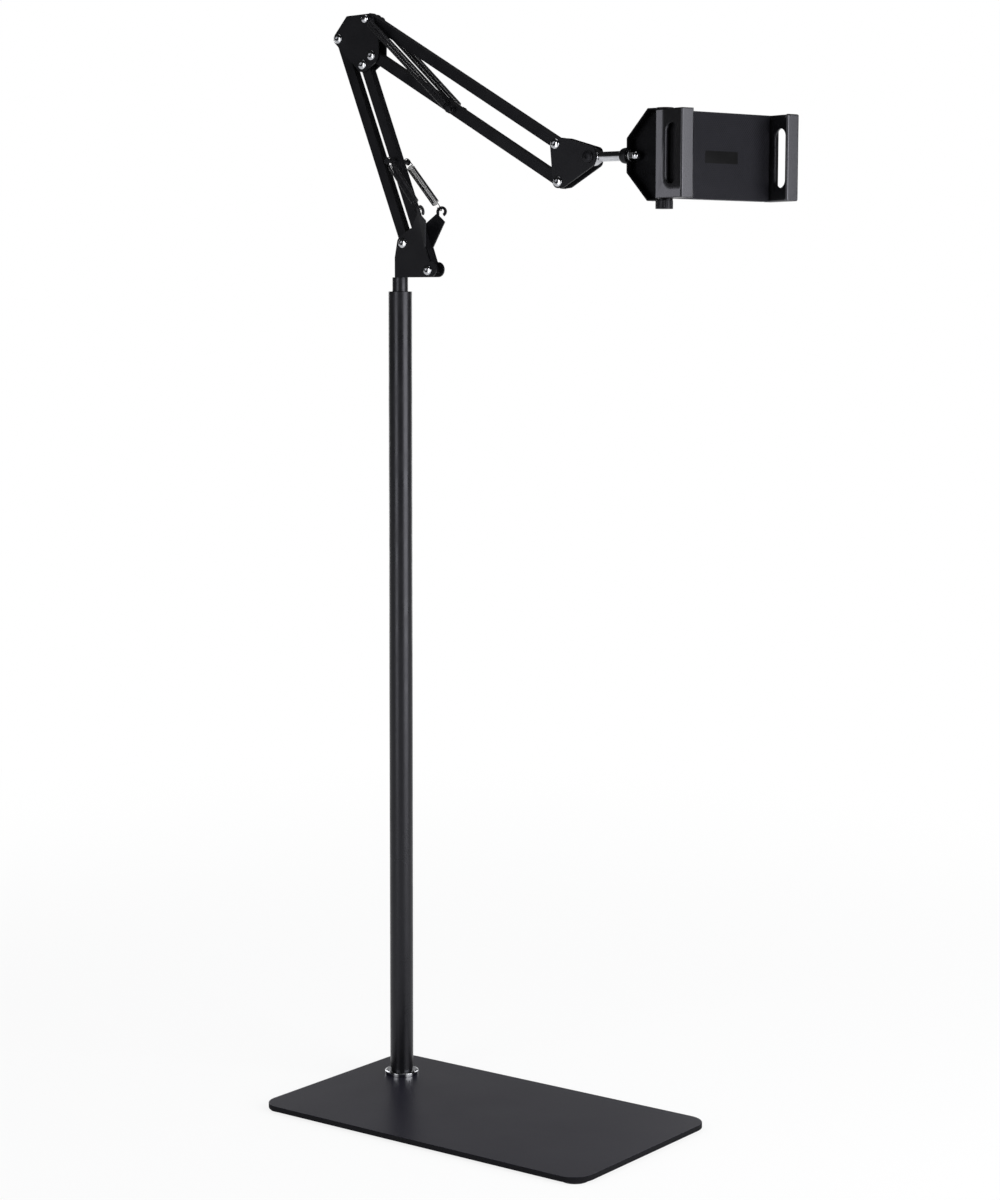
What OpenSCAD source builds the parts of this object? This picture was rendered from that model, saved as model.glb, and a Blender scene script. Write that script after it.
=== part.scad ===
// Adjustable tablet floor stand: a weighted base plate, a pole, a sprung two-section arm
// and a tablet clamp on a swivelling yoke. Millimetres, +Z up, +X along the arm.
// The origin lies on the floor under the pole's axis.

/* [Base] */
// Length of the base plate, along the arm
plate_l = 437; // [380:1:520]
// Width of the base plate
plate_w = 252; // [220:1:320]
// Thickness of the base plate
plate_t = 6; // [5:0.5:12]
// Radius of the base plate's corners
plate_corner_r = 25; // [15:1:40]
// Pole axis to the plate's rear end
pole_from_end = 54.5; // [50:0.5:120]
// Pole axis to the plate's far side
pole_from_side = 65.5; // [50:0.5:120]
// Diameter of a rubber foot
foot_d = 30; // [20:1:36]
// Height of a rubber foot
foot_h = 2; // [1:0.5:6]
// Foot centre to the plate's edges
foot_inset = 19; // [19:0.5:30]

/* [Pole] */
// Outer diameter of the pole
pole_d = 26.7; // [25:0.1:32]
// Wall of the pole
pole_wall = 1.5; // [1:0.1:2]
// Height of the pole above the plate
pole_h = 904; // [500:1:1200]
// Outer diameter of the trim ring at the pole's foot
ring_d = 39; // [38:0.5:60]
// Height of the trim ring
ring_h = 5.5; // [5:0.5:10]
// Diameter of the bolt that holds the pole
pole_bolt_d = 8; // [6:1:10]
// Length of the threaded insert in the pole's foot
insert_l = 30; // [20:1:60]
// Length of the bush in the pole's top
bush_l = 84; // [50:1:150]
// Floor of the bush, on which the spigot stands
bush_floor = 4; // [2:0.5:8]

/* [Arm bracket] */
// Diameter of the spigot that turns in the pole
spigot_d = 17.8; // [16.4:0.1:18.4]
// Spigot left showing between the pole and the bracket
spigot_show = 15.8; // [8:0.1:40]
// Rear pivot ahead of the pole's axis
pivot_x = 10.4; // [9:0.1:16]
// Rear pivot above the bracket's lower edge
pivot_z = 37.9; // [36:0.1:60]
// Front pivot ahead of the rear pivot
lower_link_x = 35.4; // [32:0.1:45]
// Front pivot below the rear pivot
lower_link_z = 30.5; // [28:0.1:32]
// Thickness of all bracket plates
sheet_t = 2; // [1.5:0.1:2.5]
// Distance between the two plates of a bracket
sheet_gap = 12; // [11.8:0.1:13]
// Height of the welded tongue between the bracket plates
tongue_h = 22; // [15:1:26]
// Length of the bent ear that holds a spring, to the foot of its hook
ear_l = 28; // [26:0.5:31]
// Outward bend of the ear
ear_bend = 22; // [18:1:28]
// Width of the ear's hook
ear_hook_w = 3; // [2.4:0.1:3.2]
// Inner radius of the ear's hook
ear_hook_bore_r = 3.1; // [2.9:0.1:3.6]

/* [Arm] */
// Width of the arm tubes, across the arm
tube_w = 10; // [9:0.1:10.4]
// Depth of the arm tubes, in the arm's plane
tube_depth = 11.6; // [9:0.1:11.8]
// Wall of the arm tubes
tube_wall = 1.2; // [0.8:0.1:1.6]
// Tube past its pivot
tube_end = 5; // [4.6:0.1:5.2]
// Lower arm, pivot to pivot
lower_arm_l = 248.4; // [200:0.1:400]
// Backward lean of the lower arm from upright
lower_arm_lean = 22; // [10:0.5:24]
// Upper arm, pivot to pivot
upper_arm_l = 296.4; // [220:0.1:450]
// Fall of the upper arm from level
upper_arm_fall = 29.7; // [10:0.1:36]
// Elbow's rear lower pivot to its upper pivot, forward
elbow_x = 44.6; // [44:0.1:60]
// Elbow's rear lower pivot to its upper pivot, upward
elbow_z = 18.8; // [18:0.1:30]
// Upper arm's lower pivot ahead of its upper pivot
upper_link_x = 3.7; // [0:0.1:8]
// Upper arm's lower pivot below its upper pivot
upper_link_z = 39.9; // [39:0.1:43]
// Diameter of the pivot screws
screw_d = 6; // [5:0.1:6.2]
// Diameter of the pivot screw heads
screw_head_d = 11; // [10:0.1:12]
// Height of the pivot screw heads
screw_head_h = 3; // [2:0.1:4]

/* [Springs] */
// Diameter of the spring wire
wire_d = 1.2; // [0.8:0.1:1.4]
// Outer diameter of the springs
spring_d = 8.4; // [7.6:0.1:8.6]
// Curls of a lower spring
lower_curls = 11; // [6:1:12]
// Curls of an upper spring
upper_curls = 26; // [12:1:28]
// Distance of the spring pins from the lower pivot of their tube
pin_along = 131; // [110:1:160]
// Diameter of the spring pins
pin_d = 5; // [4:0.1:5.4]
// Lower springs beside the arm's middle plane, at their pins
lower_spring_y = 16.2; // [15:0.1:18]
// Upper springs beside the arm's middle plane
upper_spring_y = 12.8; // [12.6:0.1:14]

/* [Wrist and rod] */
// Tilt axis ahead of the wrist's upper pivot
wrist_x = 42.7; // [38:0.1:60]
// Tilt axis below the wrist's upper pivot
wrist_z = 15; // [14:0.1:22]
// Half height of the wrist plates' blunt nose
nose_half = 11; // [10:0.1:13]
// Tilt axis to the end of the nose
nose_reach = 8.6; // [8:0.1:15]
// Diameter of the tilt bolt's head
tilt_head_d = 13; // [11:0.1:16]
// Tilt axis to the yoke's rear face
rod_reach = 46.4; // [40:0.1:80]
// Diameter of the rod
rod_d = 10.4; // [8:0.1:10.5]
// Diameter of the rod's threaded end
rod_end_d = 6; // [5:0.1:7]
// Diameter of the collar on the rod
collar_d = 16.8; // [15:0.1:22]
// Length of the collar on the rod
collar_l = 8.3; // [6:0.1:14]

/* [Yoke] */
// Sheet thickness of the yoke
yoke_t = 1.8; // [1.5:0.1:2.2]
// Height of the yoke's rear face
yoke_rear_h = 36; // [30:1:50]
// Yoke's rear face to where the slanted sides end
yoke_slant_l = 26; // [22:0.5:28]
// Yoke's rear face to the swing axis
swing_reach = 45.1; // [44:0.1:60]
// Rod axis to the inner face of the yoke's side wall
yoke_wall_y = 7; // [6.8:0.1:9]
// Rod axis to the yoke's open edge
yoke_edge_y = 4; // [3.5:0.1:6]
// Radius of the yoke's round arm ends
yoke_end_r = 9; // [8:0.5:10]
// Diameter of the swing pin and of the knob's stud
swing_d = 5; // [4:0.1:6]
// Diameter of the knob
knob_d = 18.5; // [16:0.5:26]
// Height of the knob
knob_h = 8.4; // [6:0.1:14]
// Grips cut round the knob
knob_grips = 20; // [12:1:28]

/* [Clamp] */
// Turn of the clamp about the swing axis
clamp_turn = -16.4; // [-30:0.1:0]
// Height of the jaws
jaw_h = 91.4; // [86:0.1:110]
// Thickness of the jaws' walls and lips
jaw_wall = 4; // [3:0.1:5]
// Swing axis to the fixed jaw's outer face
jaw_outside = 10.6; // [10:0.1:14]
// Width of the jaws' lips
lip_w = 17; // [12:0.1:22]
// Front of the lips ahead of the swing axis
lip_front = 39; // [34:0.1:50]
// Overhang of the lips past the faces that grip the tablet
grip_overhang = 5.5; // [4:0.1:8]
// Back of the clamp behind the swing axis
clamp_back = 4; // [3.8:0.1:5]
// Front of the housing ahead of the swing axis
housing_front = 7; // [6.6:0.1:9]
// Wall of the housing
housing_wall = 2; // [1.6:0.1:2.4]
// Height of the housing
housing_h = 91; // [82:0.1:91.2]
// Swing axis to the housing's open end
housing_end = 140.5; // [120:0.1:180]
// Thickness of the grip pad
pad_t = 1; // [0.6:0.1:2]
// Swing axis to the sliding jaw's outer face
slide_outside = 154.1; // [150:0.1:200]
// Travel of the sliding jaw
jaw_travel = 65; // [20:1:65]
// Length of the slots in the jaws
slot_l = 63; // [40:1:70]
// Width of the slots in the jaws
slot_w = 17; // [10:0.5:18]
// Height of the slide plate
slide_h = 60; // [50:1:64]
// Length of the slide plate inside the housing
slide_l = 101; // [90:1:105]

/* [Hidden] */
$fn = 48;
// Clearances: round running fits, parts of one piece, flat running faces, sliding faces
run_gap = 0.07;
seat_gap = 0.05;
face_gap = 0.1;
slide_gap = 0.3;
// Margin by which cuts pass their faces
cut = 1;

// Base and pole
plate_top = foot_h + plate_t;
pole_top = plate_top + pole_h;
pole_bore_r = pole_d / 2 - pole_wall;
ring_lip_h = 4;
bolt_cone_h = pole_bolt_d / 2;
bolt_cone_r = pole_bolt_d;
bolt_into_insert = 0.7 * insert_l;
bolt_key_d = 5;
bolt_key_depth = 2.5;

// Pivots of the arm as [x, z]
function polar(l, a) = [l * cos(a), l * sin(a)];
bracket_low = pole_top + spigot_show;
lower_angle = 90 + lower_arm_lean;
upper_angle = -upper_arm_fall;
lower_link = [lower_link_x, -lower_link_z];
upper_link = [upper_link_x, -upper_link_z];
rear_low = [pivot_x, bracket_low + pivot_z];
front_low = rear_low + lower_link;
rear_high = rear_low + polar(lower_arm_l, lower_angle);
front_high = rear_high + lower_link;
top_rear = rear_high + [elbow_x, elbow_z];
low_rear = top_rear + upper_link;
top_front = top_rear + polar(upper_arm_l, upper_angle);
low_front = top_front + upper_link;
tilt_axis = top_front + [wrist_x, -wrist_z];

// Plates, screws and tubes
sheet_in = sheet_gap / 2;
sheet_out = sheet_in + sheet_t;
screw_r = screw_d / 2;
hole_r = screw_r + seat_gap;
turn_r = screw_r + run_gap;
washer_r = tube_w / 2;
washer_t = sheet_in - tube_w / 2 - face_gap;
nut_af = 10;
nut_t = 5;
screw_past_nut = 1;
key_af = 4;
key_depth = 1.6;

// Arm bracket
corner_step = 10;
bracket_left = -1.4;
bracket_corner_r = 1;
lobe_r = 8.5;
tongue_front = 13;
ear_base = [22, 53.4];
ear_root = [41, 32];
ear_side_in = -1.1;
ear_side_out = 16;
ear_slant = 1.8;
ear_lap = 0.4;
ear_inset = 0.2;
ear_foot_r = 0.6;
ear_foot_in = 0.9;
ear_hook_start = 255;
ear_hook_end = -7;
ear_hook_lean = 1.5;
ear_hook_sink = 0.9;
ear_neck_rise = 0.4;
front_lobe = [49, 8.4];
lobe_neck = [48.5, 12];

// Elbow and wrist plates
elbow_lobe_r = 7;
elbow_front_r = 9.5;
elbow_top_r = 6.4;
elbow_corner_r = 3;
elbow_back_corner = [13.7, 21.4];
elbow_side = [8.9, -23.7];
elbow_side_r = 4.5;
wrist_lobe_r = 7;
wrist_corner_r = 3.4;
nose_corner_r = 6;
tilt_head_h = 4;
wrist_top_corner = [10.9, 2.6];
wrist_low_corner = [6.2, -3];

// Springs and their pins
spring_r = (spring_d - wire_d) / 2;
wire_gap = 0.4;
pin_hook_r = max(screw_d, pin_d) / 2 + wire_d / 2 + wire_gap;
ear_hook_r = 3;
hook_leg = 9;
hook_tail = 1.6;
rings_per_curl = 8;
wire_sides = 6;
ring_steps_per_hook = 6;
pin_head_d = 7;
pin_head_t = 1.4;
lower_pin = front_low + polar(pin_along, lower_angle);
upper_pin = low_rear + polar(pin_along, upper_angle);
anchor_head_d = 9;
anchor_head_h = 2.8;
anchor_reach = upper_spring_y + wire_d / 2 + 1.2;

// Wrist rod
eye_r = nose_half - 1;
tilt_washer_t = 0.6;
eye_half = sheet_in - tilt_washer_t - face_gap;
neck_l = 16;
neck_r = 6.5;
rod_nut_af = 10;
rod_nut_h = 5;
rod_nut_dome_h = 6;
rod_washer_t = 1.2;
rod_washer_r = 6;
collar_flat = 0.6;
dome_steps = 6;

// Yoke
yoke_x = tilt_axis.x + rod_reach;
swing_x = yoke_x + swing_reach;
axis_z = tilt_axis.y;
yoke_half = jaw_h / 2 + slide_gap + yoke_t;
yoke_rear_half = yoke_rear_h / 2;
yoke_wall_end = swing_reach - 13.5;
yoke_slope = (yoke_half - yoke_rear_half) / yoke_slant_l;
yoke_lean = sqrt(1 + yoke_slope * yoke_slope);
swing_r = swing_d / 2;
swing_pin_l = 16;
stud_l = 24;
grip_r = 0.9;

// Clamp, in its own axes: x forward out of the panel, y along the slide, z up
jaw_half = jaw_h / 2;
jaw_end_t = 3;
grip_y = -jaw_outside + lip_w - grip_overhang;
housing_half = housing_h / 2;
hinge_block = 8;
hinge_front = housing_front - housing_wall + 0.4;
corner_r = 3;
jaw_base_w = slide_outside - housing_end - 0.5;
slot_x = (lip_front - jaw_wall + housing_front + pad_t) / 2;
cavity_back = -clamp_back + housing_wall;
cavity_front = housing_front - housing_wall;
slide_back = cavity_back + slide_gap;
slide_front = cavity_front - slide_gap;
slide_plate_t = 2.5;
slide_rail_w = 3;
slide_start = housing_end + 0.5 - slide_l;
slide_half = slide_h / 2;
slide_tongue = 8;
slide_end_wall = 2;
rib_w = 2;
rib_start = hinge_block;
boss_r = 3.2;
boss_z = slide_half + slide_gap + rib_w + boss_r + 0.2;
boss_inset = 14;
case_screw_r = 1.3;
case_head_r = 2.4;
case_head_h = 1.4;
case_screw_l = 6;
jaw_spring_r = 2.6;
jaw_spring_bore_r = 1.8;
jaw_spring_z = 14;
jaw_screw_z = 15;

// Colours as the stand shows them
black_paint = [0.10, 0.10, 0.11];
black_plastic = [0.13, 0.13, 0.14];
dark_rubber = [0.18, 0.18, 0.19];
chrome = [0.80, 0.81, 0.83];
nylon = [0.2, 0.2, 0.2];
zinc = [0.62, 0.63, 0.65];

// Shapes that several parts share

// Outline round circles given as [x, y, r] anticlockwise, joined by their outer tangents
function tangent_pair(a, b) =
    let (d = [b.x - a.x, b.y - a.y], l = norm(d), e = d / l)
    let (s = (a[2] - b[2]) / l, c = sqrt(1 - s * s))
    let (n = [e.y, -e.x] * c + e * s)
    [[a.x, a.y] + n * a[2], [b.x, b.y] + n * b[2]];

function tangent_outline(discs) = [
    for (i = [0 : len(discs) - 1])
        let (pair = tangent_pair(discs[i], discs[(i + 1) % len(discs)]))
            for (p = pair) p
];

module lobed(discs) {
    polygon(tangent_outline(discs));
    for (d = discs) translate([d.x, d.y]) circle(r = d[2]);
}

// The same outline as one polygon, whose round corners are short flats
function corner_arc(before, disc, after) =
    let (n = tangent_pair(before, disc)[1] - [disc.x, disc.y])
    let (m = tangent_pair(disc, after)[0] - [disc.x, disc.y])
    let (start = atan2(n.y, n.x), turn = (atan2(m.y, m.x) - start + 720) % 360)
    let (steps = max(1, ceil(turn / corner_step)))
    [for (i = [0 : steps])
        let (a = start + turn * i / steps) [disc.x, disc.y] + disc[2] * [cos(a), sin(a)]];

module flat_lobed(discs) {
    n = len(discs);
    polygon([for (i = [0 : n - 1])
        for (p = corner_arc(discs[(i + n - 1) % n], discs[i], discs[(i + 1) % n])) p]);
}

// A flat outline in x and z, stood upright from y_low
module upright(y_low, t) {
    translate([0, y_low + t, 0]) rotate([90, 0, 0]) linear_extrude(t) children();
}

// A round bar along y through an [x, z] point
module bar_y(p, y_low, y_high, r) {
    translate([p.x, y_low, p.y]) rotate([-90, 0, 0]) cylinder(h = y_high - y_low, r = r);
}

// A round bar along x
module bar_x(x_low, x_high, r) {
    translate([x_low, 0, 0]) rotate([0, 90, 0]) cylinder(h = x_high - x_low, r = r);
}

module hex_prism(af, h) {
    cylinder(h = h, d = af / cos(30), $fn = 6);
}

// A domed screw head that stands on z = 0
module button(d, h) {
    rim = h / 3;
    rotate_extrude() polygon(concat(
        [[0, 0], [d / 2, 0]],
        [for (i = [0 : dome_steps])
            let (a = 90 * i / dome_steps) [d / 2 * cos(a), rim + (h - rim) * sin(a)]]
    ));
}

// A pivot screw across a pair of plates, its domed head on the near side
module pivot_screw(p, head_d = screw_head_d, head_h = screw_head_h) {
    length = 2 * sheet_out + nut_t + screw_past_nut;
    translate([p.x, -sheet_out, p.y]) rotate([-90, 0, 0]) {
        cylinder(h = length, r = screw_r);
        rotate([180, 0, 0]) difference() {
            button(head_d, head_h);
            translate([0, 0, head_h - key_depth]) hex_prism(key_af, key_depth + cut);
        }
    }
}

module pivot_nut(p) {
    translate([p.x, sheet_out, p.y]) rotate([-90, 0, 0]) difference() {
        hex_prism(nut_af, nut_t);
        translate([0, 0, -cut]) cylinder(h = nut_t + 2 * cut, r = hole_r);
    }
}

module washer_pair(p) {
    for (y = [-sheet_in, sheet_in - washer_t]) difference() {
        bar_y(p, y, y + washer_t, washer_r);
        bar_y(p, y - cut, y + washer_t + cut, hole_r);
    }
}

// An arm tube between two pivots, with an optional cross hole for a spring pin
module arm_tube(p, angle, length, pin_at = 0) {
    half = tube_w / 2;
    inner = half - tube_wall;
    deep = tube_depth / 2;
    inner_deep = deep - tube_wall;
    translate([p.x, 0, p.y]) rotate([0, -angle, 0]) difference() {
        translate([-tube_end, -half, -deep]) cube([length + 2 * tube_end, tube_w, tube_depth]);
        translate([-tube_end - cut, -inner, -inner_deep])
            cube([length + 2 * (tube_end + cut), 2 * inner, 2 * inner_deep]);
        for (x = [0, length]) bar_y([x, 0], -half - cut, half + cut, turn_r);
        if (pin_at > 0) bar_y([pin_at, 0], -half - cut, half + cut, pin_d / 2 + seat_gap);
    }
}

// A cross pin that carries a pair of springs
module spring_pin(p, reach) {
    bar_y(p, -reach, reach, pin_d / 2);
    for (y = [-reach - pin_head_t, reach]) bar_y(p, y, y + pin_head_t, pin_head_d / 2);
}

// The base

module plate_outline() {
    x_low = -pole_from_end + plate_corner_r;
    x_high = plate_l - pole_from_end - plate_corner_r;
    y_high = pole_from_side - plate_corner_r;
    y_low = pole_from_side - plate_w + plate_corner_r;
    r = plate_corner_r;
    lobed([[x_low, y_low, r], [x_high, y_low, r], [x_high, y_high, r], [x_low, y_high, r]]);
}

module base_plate() {
    color(black_paint) difference() {
        translate([0, 0, foot_h]) linear_extrude(plate_t) plate_outline();
        translate([0, 0, foot_h - cut])
            cylinder(h = plate_t + 2 * cut, r = pole_bolt_d / 2 + seat_gap);
        translate([0, 0, foot_h]) cylinder(h = bolt_cone_h, r1 = bolt_cone_r, r2 = pole_bolt_d / 2);
    }
}

module base_feet() {
    x_feet = [foot_inset - pole_from_end, plate_l - pole_from_end - foot_inset];
    y_feet = [pole_from_side - plate_w + foot_inset, pole_from_side - foot_inset];
    color(dark_rubber)
        for (x = x_feet) for (y = y_feet) translate([x, y, 0]) cylinder(h = foot_h, d = foot_d);
}

module pole_bolt() {
    color(zinc) difference() {
        union() {
            translate([0, 0, foot_h])
                cylinder(h = bolt_cone_h, r1 = bolt_cone_r - seat_gap, r2 = pole_bolt_d / 2 - seat_gap);
            translate([0, 0, foot_h])
                cylinder(h = plate_t + bolt_into_insert, r = pole_bolt_d / 2 - seat_gap);
        }
        translate([0, 0, foot_h - cut]) hex_prism(bolt_key_d, bolt_key_depth + cut);
    }
}

module pole_insert() {
    color(zinc) translate([0, 0, plate_top]) difference() {
        cylinder(h = insert_l, r = pole_bore_r - seat_gap);
        translate([0, 0, -cut]) cylinder(h = insert_l + 2 * cut, r = pole_bolt_d / 2);
    }
}

module pole_ring() {
    inner = pole_d / 2 + seat_gap;
    outer = ring_d / 2;
    color(chrome) translate([0, 0, plate_top]) rotate_extrude() polygon([
        [inner, 0], [outer, 0], [outer, ring_lip_h], [(inner + outer) / 2, ring_h], [inner, ring_h]
    ]);
}

module pole_tube() {
    color(black_paint) translate([0, 0, plate_top]) difference() {
        cylinder(h = pole_h, d = pole_d);
        translate([0, 0, -cut]) cylinder(h = pole_h + 2 * cut, r = pole_bore_r);
    }
}

module pole_bush() {
    color(black_plastic) translate([0, 0, pole_top - bush_l]) difference() {
        cylinder(h = bush_l, r = pole_bore_r - seat_gap);
        translate([0, 0, bush_floor]) cylinder(h = bush_l, r = spigot_d / 2 + run_gap);
    }
}

// The swivelling arm bracket

module arm_spigot() {
    low = pole_top - bush_l + bush_floor + face_gap;
    color(black_paint) union() {
        translate([0, 0, low]) cylinder(h = bracket_low - low, d = spigot_d);
        translate([bracket_left, -sheet_in, bracket_low])
            cube([tongue_front - bracket_left, sheet_gap, tongue_h]);
    }
}

// The ear's bend runs along the plate's edge, from its base at the top to its root at the front
ear_a = [ear_base.x, bracket_low + ear_base.y];
ear_b = [ear_root.x, bracket_low + ear_root.y];
ear_half = norm(ear_b - ear_a) / 2;
ear_dir = (ear_b - ear_a) / (2 * ear_half);
ear_up = [-ear_dir.y, ear_dir.x];
ear_mid = (ear_a + ear_b) / 2 + ear_up * bracket_corner_r;
ear_angle = atan2(ear_dir.y, ear_dir.x);
ear_tip_in = [-ear_half + ear_side_in, ear_l - ear_slant];
ear_tip_out = [ear_half - ear_side_out, ear_l];
// The ear ends in an open hook round this centre, and a spring pulls on the side of it
ear_hook_mid_r = ear_hook_bore_r + ear_hook_w / 2;
ear_hook_out_r = ear_hook_bore_r + ear_hook_w;
ear_eye = ear_tip_in + [ear_hook_lean, ear_hook_out_r - ear_hook_sink];
ear_grip = ear_eye - [ear_hook_mid_r, 0];

// A point in the middle of the ear's thickness, as [x, y, z] on the far side
function on_ear(q) =
    let (half = sheet_t / 2)
    let (p = ear_mid + ear_dir * q.x + ear_up * (q.y * cos(ear_bend) - half * sin(ear_bend)))
    [p.x, sheet_in + ear_inset + half * cos(ear_bend) + q.y * sin(ear_bend), p.y];

// Points on an arc of the ear's hook, from one angle to another
function hook_arc(r, from, to) =
    let (steps = ceil(abs(to - from) / corner_step))
    [for (i = [0 : steps])
        let (a = from + (to - from) * i / steps) ear_eye + r * [cos(a), sin(a)]];

module ear() {
    side = ear_half - ear_foot_in;
    translate([ear_mid.x, sheet_in + ear_inset, ear_mid.y])
        rotate([0, -ear_angle, 0]) rotate([-ear_bend, 0, 0])
        upright(0, sheet_t) polygon(concat(
            [[-side, -ear_lap], [side, -ear_lap], [side + ear_foot_r, ear_foot_r], ear_tip_out],
            [ear_tip_in + [ear_hook_w, ear_neck_rise]],
            hook_arc(ear_hook_bore_r, ear_hook_start, ear_hook_end),
            hook_arc(ear_hook_out_r, ear_hook_end, ear_hook_start),
            [[-side - ear_foot_r, ear_foot_r]]
        ));
}

module bracket_plate() {
    r = bracket_corner_r;
    color(black_paint) difference() {
        union() {
            upright(sheet_in, sheet_t) {
                flat_lobed([
                    [bracket_left + r, bracket_low + r, r],
                    [front_lobe.x, bracket_low + front_lobe.y, front_lobe.y],
                    [bracket_left + r, bracket_low + tongue_h * 0.7, r]
                ]);
                flat_lobed([
                    [bracket_left + r, bracket_low + tongue_h * 0.4, r],
                    [lobe_neck.x, bracket_low + lobe_neck.y, r],
                    [ear_b.x, ear_b.y, r],
                    [ear_a.x, ear_a.y, r],
                    [rear_low.x, rear_low.y, lobe_r],
                    [bracket_left + r, bracket_low + tongue_h, r]
                ]);
            }
            ear();
        }
        for (p = [rear_low, front_low]) bar_y(p, sheet_in - cut, sheet_out + cut, hole_r);
    }
}

module bracket_plate_far() {
    bracket_plate();
}

module bracket_plate_near() {
    mirror([0, 1, 0]) bracket_plate();
}

module bracket_screws() {
    color(chrome) for (p = [rear_low, front_low]) pivot_screw(p);
}

module bracket_nuts() {
    color(zinc) for (p = [rear_low, front_low]) pivot_nut(p);
}

module bracket_washers() {
    color(nylon) for (p = [rear_low, front_low]) washer_pair(p);
}

// The lower arm

module lower_rear_tube() {
    color(black_paint) arm_tube(rear_low, lower_angle, lower_arm_l);
}

module lower_front_tube() {
    color(black_paint) arm_tube(front_low, lower_angle, lower_arm_l, pin_along);
}

lower_pin_reach = lower_spring_y + wire_d / 2 + 1;

module lower_spring_pin() {
    color(black_paint) spring_pin(lower_pin, lower_pin_reach);
}

// The springs

// Points of a hook in the plane of its own up direction, from its tail round to its leg
function hook_points(r) = concat(
    [[hook_tail, -r], [hook_tail / 3, -r]],
    [for (i = [0 : ring_steps_per_hook])
        let (a = -90 - 180 * i / ring_steps_per_hook) [r * cos(a), r * sin(a)]]
);

// A spring's path from one hook centre to the other. Each hook lies in the plane of the axis
// and its own direction, and the curls run between the two legs.
function spring_path(start, end, up_start, up_end, r_start, r_end, curls) =
    let (axis = (end - start) / norm(end - start), length = norm(end - start))
    let (u = unit(up_start - axis * (axis * up_start)), v = cross(axis, u))
    let (w = unit(up_end - axis * (axis * up_end)))
    let (turn_end = atan2(w * v, w * u))
    let (turns = 360 * (curls - 1) + (turn_end > 0 ? turn_end : turn_end + 360))
    let (steps = ceil(turns / 360 * rings_per_curl), coil_l = length - 2 * hook_leg)
    concat(
        [for (h = hook_points(r_start)) start + axis * h.x + u * h.y],
        [for (i = [0 : steps])
            let (a = turns * i / steps, s = hook_leg + coil_l * i / steps)
            start + axis * s + (u * cos(a) + v * sin(a)) * spring_r],
        [for (i = [len(hook_points(r_end)) - 1 : -1 : 0])
            let (h = hook_points(r_end)[i]) end - axis * h.x + w * h.y]
    );

function unit(a) = a / norm(a);

// Directions along a path, and a sideways direction carried along it without twist
function tangents(path) = [
    for (i = [0 : len(path) - 1])
        unit(path[min(i + 1, len(path) - 1)] - path[max(i - 1, 0)])
];

function carried(t) =
    let (first = unit(cross(t[0], abs(t[0].z) < 0.9 ? [0, 0, 1] : [1, 0, 0])))
    [for (i = 0, s = first; i < len(t);
        i = i + 1, s = i < len(t) ? unit(s - t[i] * (t[i] * s)) : s) s];

// The least clear distance of a path to itself, beyond half a curl along it
function least_gap(path) =
    min([for (i = [0 : len(path) - 1]) for (j = [i + rings_per_curl / 2 + 1 : 1 : len(path) - 1])
        norm(path[i] - path[j])]) - wire_d;

// One unbroken round wire along a path
module wire(path) {
    t = tangents(path);
    s = carried(t);
    n = len(path);
    k = wire_sides;
    points = [
        for (i = [0 : n - 1]) let (b = cross(t[i], s[i]))
            for (j = [0 : k - 1]) path[i] + (s[i] * cos(360 * j / k) + b * sin(360 * j / k)) * wire_d / 2
    ];
    sides = [
        for (i = [0 : n - 2]) for (j = [0 : k - 1])
            let (a = i * k + j, b = i * k + (j + 1) % k)
                for (f = [[a, b + k, b], [a, a + k, b + k]]) f
    ];
    first_cap = [for (j = [1 : k - 2]) [0, j, j + 1]];
    last_cap = [for (j = [1 : k - 2]) [(n - 1) * k, (n - 1) * k + j + 1, (n - 1) * k + j]];
    polyhedron(points = points, faces = concat(first_cap, sides, last_cap));
}

module lower_spring() {
    grip = on_ear(ear_grip);
    path = spring_path([lower_pin.x, lower_spring_y, lower_pin.y], grip, [1, 0, 1], [0, 1, 0],
        pin_hook_r, ear_hook_r, lower_curls);
    echo(lower_spring_least_gap = least_gap(path));
    color(black_paint) wire(path);
}

module lower_spring_far() {
    lower_spring();
}

module lower_spring_near() {
    mirror([0, 1, 0]) lower_spring();
}

module upper_spring() {
    path = spring_path([top_rear.x, upper_spring_y, top_rear.y], [upper_pin.x, upper_spring_y, upper_pin.y],
        [1, 0, 1], [-1, 0, -1], pin_hook_r, pin_hook_r, upper_curls);
    echo(upper_spring_least_gap = least_gap(path));
    color(black_paint) wire(path);
}

module upper_spring_far() {
    upper_spring();
}

module upper_spring_near() {
    mirror([0, 1, 0]) upper_spring();
}

// The elbow

elbow_pivots = [rear_high, front_high, low_rear];

module elbow_plate(y_low) {
    back = rear_high + elbow_back_corner;
    side = top_rear + elbow_side;
    color(black_paint) difference() {
        upright(y_low, sheet_t) lobed([
            [front_high.x, front_high.y, lobe_r],
            [low_rear.x, low_rear.y, elbow_front_r],
            [side.x, side.y, elbow_side_r],
            [top_rear.x, top_rear.y, elbow_top_r],
            [back.x, back.y, elbow_corner_r],
            [rear_high.x, rear_high.y, elbow_lobe_r]
        ]);
        for (p = concat(elbow_pivots, [top_rear])) bar_y(p, y_low - cut, y_low + sheet_t + cut, hole_r);
    }
}

module elbow_plate_near() {
    elbow_plate(-sheet_out);
}

module elbow_plate_far() {
    elbow_plate(sheet_in);
}

module elbow_screws() {
    color(chrome) for (p = elbow_pivots) pivot_screw(p);
}

module elbow_nuts() {
    color(zinc) for (p = elbow_pivots) pivot_nut(p);
}

module elbow_washers() {
    color(nylon) for (p = concat(elbow_pivots, [top_rear])) washer_pair(p);
}

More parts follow.
